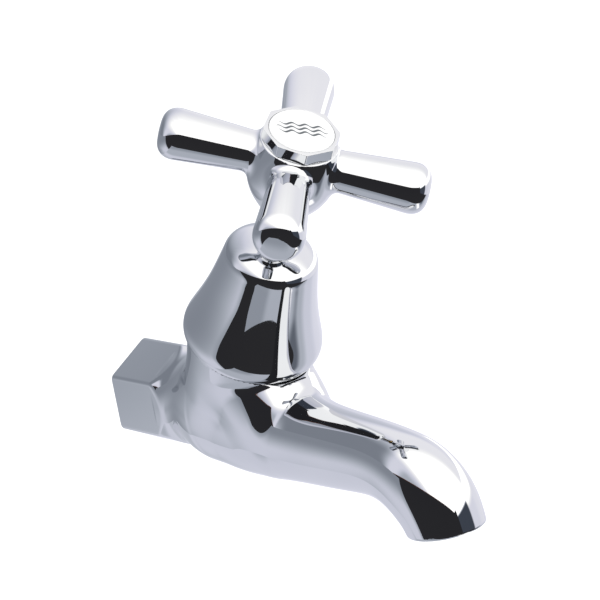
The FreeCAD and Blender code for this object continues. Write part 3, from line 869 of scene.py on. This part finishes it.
dome = profile([(0.0, 10.9), (2.2, 10.875), (4.4, 10.8), (6.0, 10.725), (7.4, 10.65), (8.1, 10.53), (8.55, 10.40)])
dr = np.array([8.55, 8.4, 8.25, 8.05, 7.8, 7.2, 6.4, 5.5, 4.5, 3.4, 2.3, 1.2, 0.5])
dz = dome(dr)[0][:, 0]
R8 = DISC_R
prof = [(0, c0 + 2.12), (4.0, c0 + 2.12), (R8 - 0.2, c0 + 2.12), (R8 - 0.03, c0 + 2.2), (R8, c0 + 2.4), (R8, 9.6), (R8, 9.95), (R8 - 0.01, 10.08), (R8 - 0.05, 10.2),
        (R8 - 0.13, 10.31), (R8 - 0.20, 10.37)] + list(zip(dr, dz)) + [(0, 10.9)]
V, faces = closed_disc(prof, 144)
piece("index_disc_glazed", head_to_row(V), faces, newell(V, faces) @ HM, "handle", ["index_disc"], PORCELAIN, uv=V[:, :2])

# ------------------------------------------------------------------ stage
TURN = radians(-31.4)
SU = np.array([cos(TURN), sin(TURN), 0.0])        # to the right, seen from the camera
SV = np.array([sin(TURN), -cos(TURN), 0.0])       # towards the camera
S0 = np.array([0.0, -65.0, 0.0])
FLOOR_Z, CEIL_Z, LEFT_U, RIGHT_U, BACK_V = -132.3, 120.7, -214.4, 342.1, -900.0


def lin(c):
    c = np.asarray(c, float) / 255.0
    return np.where(c <= 0.04045, c / 12.92, ((c + 0.055) / 1.055) ** 2.4)


def ease(x, a, b):
    t = np.clip((x - a) / (b - a), 0, 1)
    return t * t * (3 - 2 * t)


def blend_tone(base, tone, w):
    return base * (1 - w[..., None]) + np.array(tone, float) * w[..., None]


GAIN = 1 / np.array([0.7175, 0.730, 0.7475])


def cool(r):
    """slightly cool grey of a given red value, going neutral towards white"""
    r = np.asarray(r, float)
    wg, wb = 1 - ease(r, 150, 235), 1 - ease(r, 195, 250)
    return lin(np.stack([r, r + 5.5 * wg, r + 16 * wb], -1)) * (1 + 0.12 * ease(r, 240, 255))[..., None]


def panel(name, point, tone, nu=60, nv=60):
    """softbox face or grey card, seen only in the chrome"""
    s, t = np.meshgrid(np.linspace(0, 1, nu + 1), np.linspace(0, 1, nv + 1), indexing="ij")
    P = point(s.ravel(), t.ravel())
    col = np.maximum(tone(s.ravel(), t.ravel()), 0)
    i, j = np.meshgrid(np.arange(nu), np.arange(nv), indexing="ij")
    a = (i * (nv + 1) + j).ravel()
    q = np.stack([a, a + nv + 1, a + nv + 2, a + 1], 1)
    me = bpy.data.meshes.new(name)
    me.from_pydata((P * MM).tolist(), [], q.tolist())
    at = me.attributes.new("tone", "FLOAT_COLOR", "POINT")
    at.data.foreach_set("color", np.concatenate([col, np.ones((len(col), 1))], 1).ravel())
    ob = bpy.data.objects.new(name, me)
    bpy.context.scene.collection.objects.link(ob)
    ob.visible_camera = False
    ob.visible_diffuse = False
    ob.visible_transmission = False
    ob.visible_volume_scatter = False
    ob.visible_shadow = False
    mat = bpy.data.materials.new(name)
    mat.use_nodes = True
    nt = mat.node_tree
    nt.nodes.clear()
    out = nt.nodes.new("ShaderNodeOutputMaterial")
    em = nt.nodes.new("ShaderNodeEmission")
    atn = nt.nodes.new("ShaderNodeAttribute")
    atn.attribute_name = "tone"
    nt.links.new(atn.outputs["Color"], em.inputs["Color"])
    nt.links.new(em.outputs["Emission"], out.inputs["Surface"])
    mat.cycles.emission_sampling = "NONE"
    me.materials.append(mat)
    return ob


def place(u, v, z):
    return S0 + u[:, None] * SU + v[:, None] * SV + np.stack([0 * z, 0 * z, z], 1)


def ceil_uv(s, t):
    u = LEFT_U + s * (RIGHT_U - LEFT_U)
    edge = np.clip(268.8 + 0.99 * u, BACK_V, 600)
    # more of the grid near the front
    v = BACK_V + (edge - BACK_V) * (1 - (1 - t) ** 1.7)
    return u, v, edge


def ceil_point(s, t):
    u, v, _ = ceil_uv(s, t)
    return place(u, v, np.full_like(u, CEIL_Z))


def ceil_tone(s, t):
    u, v, edge = ceil_uv(s, t)
    near = 208 + 47 * ease(u, -62, -22)
    mid = 118 + 108 * ease(u, -72, 22)
    far = np.clip(146 + 0.22 * (u + 110), 130, 215)
    r = mid + (near - mid) * ease(v, -12, 42)
    r = r + (far - r) * ease(-v, 100, 210)
    r = r - 45 * ease(v, 70, 110) * (1 - ease(u, -110, -50))
    return cool(r) * GAIN


def rim_point(s, t):
    u = LEFT_U + s * (RIGHT_U - LEFT_U)
    edge = np.clip(268.8 + 0.99 * u, BACK_V, 600)
    return place(u, edge + 9.0 * t, np.full_like(u, CEIL_Z))


def floor_uv(s, t):
    u = LEFT_U + s * (RIGHT_U - LEFT_U)
    edge = np.clip(150.4 - 0.5 * u, BACK_V, 600)
    v = BACK_V + (edge - BACK_V) * (1 - (1 - t) ** 1.7)
    return u, v, edge


def floor_point(s, t):
    u, v, _ = floor_uv(s, t)
    return place(u, v, np.full_like(u, FLOOR_Z))


def floor_tone(s, t):
    u, v, edge = floor_uv(s, t)
    r = 195 - 29 * ease(v, -60, 0) - 28 * ease(v, 95, 180) * (1 - ease(u, -70, -20))
    r = r - 24 * ease(-v, 120, 230) * (1 - ease(u, -90, -20)) + 12 * ease(-v, 120, 230) * ease(u, -60, 0)
    strip = ease(u, 60, 74) * (1 - ease(u, 100, 116)) * ease(v, -30, 10)
    r = r + (255 - r) * strip
    dim = ease(u, 118, 150) * ease(v, 10, 50)
    r = r - 75 * dim
    return cool(r) * GAIN


def left_point(s, t):
    v = BACK_V + (100.9 - BACK_V) * (1 - (1 - s) ** 1.7)
    return place(np.full_like(v, LEFT_U), v, FLOOR_Z + t * (CEIL_Z - FLOOR_Z))


def left_tone(s, t):
    v = BACK_V + (100.9 - BACK_V) * (1 - (1 - s) ** 1.7)
    z = FLOOR_Z + t * (CEIL_Z - FLOOR_Z)
    g = np.exp(-(np.minimum(v - 10, 0) / 220) ** 2)
    h = ease(-z, -85, 60)
    r = 126 + 70 * g * h - 24 * np.exp(-((z + 45) / 24) ** 2) * ease(-v, 60, 130) * g
    r = r - 40 * ease(v, 62, 100) * h
    return cool(r) * GAIN


def right_point(s, t):
    v = BACK_V + (494.0 - BACK_V) * (1 - (1 - s) ** 1.7)
    return place(np.full_like(v, RIGHT_U), v, FLOOR_Z + t * (CEIL_Z - FLOOR_Z))


def right_tone(s, t):
    v = BACK_V + (494.0 - BACK_V) * (1 - (1 - s) ** 1.7)
    z = FLOOR_Z + t * (CEIL_Z - FLOOR_Z)
    r = 208 + 47 * ease(z, 5, 45) + 8 * ease(-v, 0, 100)
    r = r + (58 - r) * ease(v, 118, 136) * (1 - ease(z, 50, 66))
    return cool(r) * GAIN


def back_point(s, t):
    u = LEFT_U + s * (RIGHT_U - LEFT_U)
    return place(u, np.full_like(u, BACK_V), FLOOR_Z + t * (CEIL_Z - FLOOR_Z))


panel("stage_ceiling", ceil_point, ceil_tone, 90, 90)
panel("stage_rim", rim_point, lambda s, t: np.broadcast_to(lin([90, 58, 46]), (len(s), 3)) * GAIN, 60, 2)
panel("stage_low", floor_point, floor_tone, 90, 90)
panel("stage_left", left_point, left_tone)
panel("stage_right", right_point, right_tone)
panel("stage_back", back_point, lambda s, t: cool(150 + 60 * ease(s, 0.1, 0.9)) * GAIN, 12, 4)



def shell_point(s, t):
    """dark studio behind the open front: the inside of a large drum"""
    a = 2 * pi * s
    r = 1900.0 * np.sin(pi * np.clip(t, 0.002, 0.998))
    return S0 + np.stack([r * np.cos(a), r * np.sin(a), -1900.0 * np.cos(pi * t)], 1)


def shell_tone(s, t):
    return lin(np.stack([42 - 8 * t, 42 - 8 * t, 44 - 6 * t], -1)) * GAIN


panel("stage_dark", shell_point, shell_tone, 48, 24)

fm = bpy.data.meshes.new("floor")
F3 = 3.0
fm.from_pydata([(-F3, -F3, -0.150), (F3, -F3, -0.150), (F3, F3, -0.150), (-F3, F3, -0.150)], [], [(0, 1, 2, 3)])
floor = bpy.data.objects.new("floor", fm)
bpy.context.scene.collection.objects.link(floor)
floor.visible_glossy = False
mat, nt, b = tree("floor_pale")
co = coords(nt)
nt.links.new(ramp(nt, noise(nt, co, 3.0, 2.0, 0.5), [(0.3, (0.86, 0.86, 0.865)), (0.7, (0.88, 0.88, 0.885))]), b.inputs["Base Color"])
b.inputs["Roughness"].default_value = 0.9
b.inputs["Specular IOR Level"].default_value = 0.1
b.inputs["Emission Color"].default_value = (1.0, 1.0, 1.0, 1.0)
b.inputs["Emission Strength"].default_value = 0.28
fm.materials.append(mat)

world = bpy.data.worlds.new("studio")
bpy.context.scene.world = world
world.use_nodes = True
bg = [n for n in world.node_tree.nodes if n.type == "BACKGROUND"][0]
bg.inputs["Color"].default_value = (1.0, 1.0, 1.0, 1.0)
bg.inputs["Strength"].default_value = 1.04
world.cycles_visibility.glossy = False

sun = bpy.data.lights.new("soft_key", "AREA")
sun.shape = "RECTANGLE"
sun.size, sun.size_y = 0.7, 0.5
sun.energy = 3.0
key = bpy.data.objects.new("soft_key", sun)
bpy.context.scene.collection.objects.link(key)
key.location = (0.35, -0.55, 0.75)
key.rotation_euler = (radians(38), 0.0, radians(32))
key.visible_glossy = False
key.visible_camera = False

# ------------------------------------------------------------------ camera
AZ, EL, ROLL = radians(-35.307), radians(14.345), radians(-10.735)
Bv = np.array([sin(AZ) * cos(EL), -cos(AZ) * cos(EL), sin(EL)])
Rv = np.array([cos(AZ), sin(AZ), 0.0])
Uv = np.cross(Bv, Rv)
R2 = cos(ROLL) * Rv + sin(ROLL) * Uv
U2 = -sin(ROLL) * Rv + cos(ROLL) * Uv
eye = (Bv * 870.152 + R2 * 18.248 + U2 * 29.252 + np.array([0.0, AXIS_Y, 0.0])) * MM
cam = bpy.data.cameras.new("camera")
cam.sensor_width = 36.0
cam.lens = exp(8.039) / 600 * 36.0
cam.clip_start = 0.05
cam.clip_end = 20.0
cam.dof.use_dof = False
camera = bpy.data.objects.new("camera", cam)
bpy.context.scene.collection.objects.link(camera)
from mathutils import Matrix
camera.matrix_world = Matrix([[R2[0], U2[0], Bv[0], eye[0]], [R2[1], U2[1], Bv[1], eye[1]], [R2[2], U2[2], Bv[2], eye[2]], [0, 0, 0, 1]])
bpy.context.scene.camera = camera
bpy.context.scene.view_settings.view_transform = "Standard"
bpy.context.scene.view_settings.look = "None"

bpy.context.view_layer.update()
